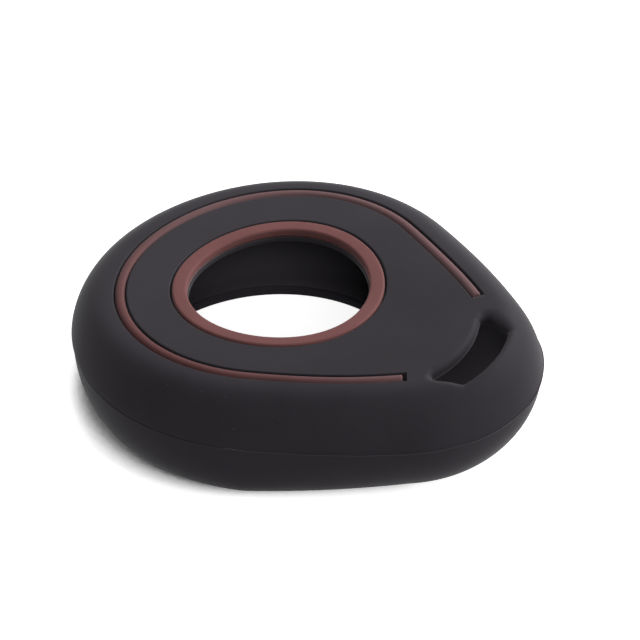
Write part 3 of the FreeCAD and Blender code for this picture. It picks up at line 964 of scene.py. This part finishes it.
def silicone(title, base, finish, painted_sheen=None, painted_sheen_share=0.0):
    """Matte moulded silicone: cloudy tone, fine moulded grain, and sparse pale dust specks.

    A painted sheen, where one is given, grows to its share along its way: a pale colour painted in as a
    highlight of the back lamps' sheen. The mesh's hollow attribute, where it has one, blends in the inside
    colour, which is painted light that lightens the hollow.
    """
    material = bpy.data.materials.new(title)
    material.use_nodes = True
    tree = material.node_tree
    shader = tree.nodes["Principled BSDF"]
    place = add_node(tree, "ShaderNodeTexCoord").outputs["Object"]
    cloud = add_node(tree, "ShaderNodeTexNoise", Vector=place, Scale=90, Detail=4, Roughness=0.6)
    grain = add_node(tree, "ShaderNodeTexNoise", Vector=place, Scale=5200, Detail=2, Roughness=0.6)
    specks = add_node(tree, "ShaderNodeTexVoronoi", Vector=place, Scale=420, Randomness=1)
    bump = add_node(tree, "ShaderNodeBump", Height=grain.outputs["Fac"], Strength=0.35, Distance=0.02 * MM)
    rough = remapped(tree, cloud.outputs["Fac"], CLOUD_RANGE,
                     [finish.roughness + change for change in ROUGHNESS_CHANGES])

    tone = add_node(tree, "ShaderNodeValToRGB", Fac=cloud.outputs["Fac"])
    for stop, position, part in zip(tone.color_ramp.elements, CLOUD_RANGE, CLOUD_SHARES):
        stop.position = position
        stop.color = (*[part * value for value in base], 1)
    surface = tone.outputs["Color"]
    # Painted sheen: a pale colour mixed in along its way, a painted highlight of the back lamps.
    if painted_sheen:
        along = add_node(tree, "ShaderNodeVectorMath", place, painted_sheen.way, operation="DOT_PRODUCT")
        grown = remapped(tree, along.outputs["Value"], painted_sheen.span, (0, painted_sheen_share))
        surface = mixed_in(tree, surface, finish.painted_sheen, grown)
    # Painted light: the inside colour, blended in by the hollow attribute, lightens the hollow.
    hollow = add_node(tree, "ShaderNodeAttribute")
    hollow.attribute_name = "hollow"
    surface = mixed_in(tree, surface, finish.inside, hollow.outputs["Fac"])
    speck = [blend(value, 1, SPECK_WHITE_SHARE) for value in base]
    dusted = remapped(tree, specks.outputs["Distance"], SPECK_RANGE, (0, finish.dust))
    surface = mixed_in(tree, surface, speck, dusted)

    sources = {"Base Color": surface, "Roughness": rough, "Normal": bump.outputs["Normal"], "IOR": 1.41,
               "Specular IOR Level": finish.specular, "Sheen Weight": finish.dust, "Sheen Roughness": 0.3}
    for name, source in sources.items():
        feed(tree, shader.inputs[name], source)
    return material


# The floor's own white, dimmed into a painted shadow on the side away from the light: the way to the light, how
# open that side is where the white starts and where it is full, and between which distances from the axis of
# the cover's opening the white inside it ends, where it paints out the cover's shade.
LIT_SIDE = (0.85, 0.3, 0.4)
OPEN_SHARES = (0.44, 0.54)
WINDOW_ENDS = (17 * MM, 18 * MM)


def floor_material(stage):
    """White floor with a close soft shadow on the side away from the light: the lamps' real shadow on its paint
    and a painted shadow in its own white.

    To the camera and in reflections its own white is full inside the cover, where it paints out the cover's
    shade, and in the open, and falls off as a painted shadow where the cover stands between it and the light.
    To every other ray it is plain paint.
    """
    material = bpy.data.materials.new("white_floor")
    material.use_nodes = True
    tree = material.node_tree
    tree.nodes.clear()
    # Painted shadow: the own white falls off where the cover blocks the side towards the light.
    to_light = add_node(tree, "ShaderNodeCombineXYZ", *LIT_SIDE).outputs[0]
    light = add_node(tree, "ShaderNodeAmbientOcclusion", Distance=stage.shade_reach, Normal=to_light)
    light.samples = 16
    open_white = remapped(tree, light.outputs["AO"], OPEN_SHARES, (0, stage.open_white))
    # Painted light: the own white stays full inside the cover's opening, over the cover's shade.
    place = add_node(tree, "ShaderNodeTexCoord").outputs["Object"]
    reach = add_node(tree, "ShaderNodeVectorMath", place, (OPENING_X, 0, 0), operation="DISTANCE")
    window_white = remapped(tree, reach.outputs["Value"], WINDOW_ENDS, (stage.window_white, 0))
    glow = add_node(tree, "ShaderNodeEmission", Strength=maximum(tree, open_white, window_white))
    paint = add_node(tree, "ShaderNodeBsdfDiffuse", Color=(*stage.floor, 1)).outputs[0]
    white = add_node(tree, "ShaderNodeAddShader", paint, glow.outputs[0]).outputs[0]
    choice = add_node(tree, "ShaderNodeMixShader", seen_or_mirrored(tree), paint, white)
    add_node(tree, "ShaderNodeOutputMaterial", Surface=choice.outputs[0])
    return material


# Stage

FLOOR_REACH = 3.0
# Where the camera starts to see, as a share of its distance.
NEAR_CLIP_SHARE = 0.01
# Each lamp's name, place, size and power.
LAMPS = (("right_light", (0.582, 0.476, 0.45), 0.5, 5.8),
         ("back_right_light", (0.02, 0.26, 0.15), 0.167, 0.66),
         ("back_left_light", (-0.825, 0.21, 0.4), 0.5, 1.7),
         ("left_light", (-0.709, -0.383, 0.35), 0.5, 0.6),
         ("front_light", (0.481, -0.436, 0.65), 0.5, 2.9))


def add_floor(stage):
    """Level square on which the cover stands."""
    reach = FLOOR_REACH
    mesh = bpy.data.meshes.new("floor")
    mesh.from_pydata([(-reach, -reach, 0), (reach, -reach, 0), (reach, reach, 0), (-reach, reach, 0)], [],
                     [(0, 1, 2, 3)])
    mesh.materials.append(floor_material(stage))
    floor = add_object("floor", mesh)


def add_softbox(name, place, size, power):
    """Square area lamp at a place, turned to face the origin."""
    lamp = bpy.data.lights.new(name, "AREA")
    lamp.shape = "SQUARE"
    lamp.size = size
    lamp.energy = power
    softbox = add_object(name, lamp)
    softbox.location = place
    softbox.rotation_euler = (-Vector(place)).to_track_quat("-Z", "Y").to_euler()


def add_world():
    """Surround that is white where the camera or a reflection meets it, and gives no other light."""
    world = bpy.data.worlds.new("studio")
    world.use_nodes = True
    bpy.context.scene.world = world
    tree = world.node_tree
    background = tree.nodes["Background"]
    feed(tree, background.inputs["Color"], (1, 1, 1, 1))
    feed(tree, background.inputs["Strength"], seen_or_mirrored(tree))


def add_camera(stage):
    """Camera on its line of sight, shifted sideways and up in its own picture plane and rolled."""
    turn, rise, roll = stage.azimuth, stage.elevation, stage.roll
    back = Vector((math.sin(turn) * math.cos(rise), -math.cos(turn) * math.cos(rise), math.sin(rise)))
    level = Vector((math.cos(turn), math.sin(turn), 0))
    upright = back.cross(level)
    right = math.cos(roll) * level + math.sin(roll) * upright
    up = math.cos(roll) * upright - math.sin(roll) * level
    place = Vector((WINDOW_X, 0, 0)) + stage.right * right + stage.up * up + stage.distance * back
    data = bpy.data.cameras.new("photo_view")
    data.lens = stage.lens
    data.clip_start = NEAR_CLIP_SHARE * stage.distance
    camera = add_object("photo_view", data)
    camera.matrix_world = Matrix.Translation(place) @ Matrix((right, up, back)).transposed().to_4x4()
    bpy.context.scene.camera = camera


# Operators


class FOBCOVER_OT_sleeve(bpy.types.Operator):
    """Build the black sleeve"""

    bl_idname = "fob_cover.sleeve"
    bl_label = "Sleeve"

    def execute(self, context):
        finish = context.scene.fob_cover_finish
        points, faces, hollow = sleeve_surface(context.scene.fob_cover_sizes)
        # The sleeve gets painted sheen towards the top and back of its round end.
        material = silicone("black_silicone", finish.black, finish, SLEEVE_PAINTED_SHEEN, finish.black_painted_sheen)
        new_piece("moulded_sleeve", points, faces, material, "sleeve", hollow)
        return {"FINISHED"}


class FOBCOVER_OT_ring(bpy.types.Operator):
    """Build the brown ring round the window"""

    bl_idname = "fob_cover.ring"
    bl_label = "Window ring"

    def execute(self, context):
        finish = context.scene.fob_cover_finish
        points, faces = ring_surface(context.scene.fob_cover_sizes)
        material = silicone("brown_silicone", finish.ring_brown, finish)
        new_piece("ring_inlay", points, faces, material, "window_ring")
        return {"FINISHED"}


class FOBCOVER_OT_stripe(bpy.types.Operator):
    """Build the brown stripe along the top plate"""

    bl_idname = "fob_cover.stripe"
    bl_label = "Stripe"

    def execute(self, context):
        finish = context.scene.fob_cover_finish
        points, faces = stripe_surface(context.scene.fob_cover_sizes)
        # The stripe gets painted sheen towards its +Y side.
        material = silicone("brown_stripe_silicone", finish.stripe_brown, finish, STRIPE_PAINTED_SHEEN,
                            finish.stripe_painted_sheen)
        stripe = new_piece("stripe_inlay", points, faces, material, "stripe")
        for cap in stripe.data.polygons[-2:]:
            cap.use_smooth = False
        return {"FINISHED"}


class FOBCOVER_OT_stage(bpy.types.Operator):
    """Set up the floor, the light and the camera"""

    bl_idname = "fob_cover.stage"
    bl_label = "Stage"

    def execute(self, context):
        stage = context.scene.fob_cover_stage
        add_floor(stage)
        add_world()
        for lamp in LAMPS:
            add_softbox(*lamp)
        add_camera(stage)
        context.scene.view_settings.view_transform = "Standard"
        return {"FINISHED"}


class FOBCOVER_PT_panel(bpy.types.Panel):
    """Pieces of the cover and its stage"""

    bl_idname = "FOBCOVER_PT_panel"
    bl_label = "Key fob cover"
    bl_space_type = "VIEW_3D"
    bl_region_type = "UI"
    bl_category = "Fob cover"

    def draw(self, context):
        for operator in OPERATORS:
            self.layout.operator(operator.bl_idname)
        for settings in (context.scene.fob_cover_sizes, context.scene.fob_cover_finish,
                         context.scene.fob_cover_stage):
            box = self.layout.box()
            for name in settings.__annotations__:
                box.prop(settings, name)


SETTINGS = {"fob_cover_sizes": CoverSizes, "fob_cover_finish": CoverFinish, "fob_cover_stage": StageSettings}
OPERATORS = (FOBCOVER_OT_sleeve, FOBCOVER_OT_ring, FOBCOVER_OT_stripe, FOBCOVER_OT_stage)


def register():
    for group in (*SETTINGS.values(), *OPERATORS, FOBCOVER_PT_panel):
        bpy.utils.register_class(group)
    for name, group in SETTINGS.items():
        setattr(bpy.types.Scene, name, bpy.props.PointerProperty(type=group))


def unregister():
    for name in SETTINGS:
        delattr(bpy.types.Scene, name)
    for group in (FOBCOVER_PT_panel, *OPERATORS, *SETTINGS.values()):
        bpy.utils.unregister_class(group)


def main():
    """Builds the pieces and the stage."""
    register()
    bpy.ops.fob_cover.sleeve()
    bpy.ops.fob_cover.ring()
    bpy.ops.fob_cover.stripe()
    bpy.ops.fob_cover.stage()


if __name__ == "__main__":
    main()
